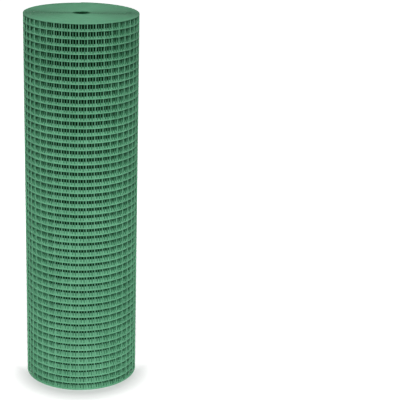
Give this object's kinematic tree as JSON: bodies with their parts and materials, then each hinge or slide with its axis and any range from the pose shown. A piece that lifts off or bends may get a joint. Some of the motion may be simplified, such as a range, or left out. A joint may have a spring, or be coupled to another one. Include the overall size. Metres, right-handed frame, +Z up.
{
  "type": "roll of wire fencing",
  "caption": "Tall roll of green plastic-coated welded wire mesh fencing, wound tight around a small open core and standing on its end.",
  "frame": {"origin": "on the roll's axis, at the floor that the roll stands on", "axes": "+Z up along the roll's axis and its core, -Y towards the viewer"},
  "size_m": [0.2999, 0.3, 1],
  "materials": {
    "coated_wire": "semi-gloss green plastic coat over steel wire"
  },
  "bodies": {
    "root": {"mesh_roll": "coated_wire"}
  },
  "joints": []
}
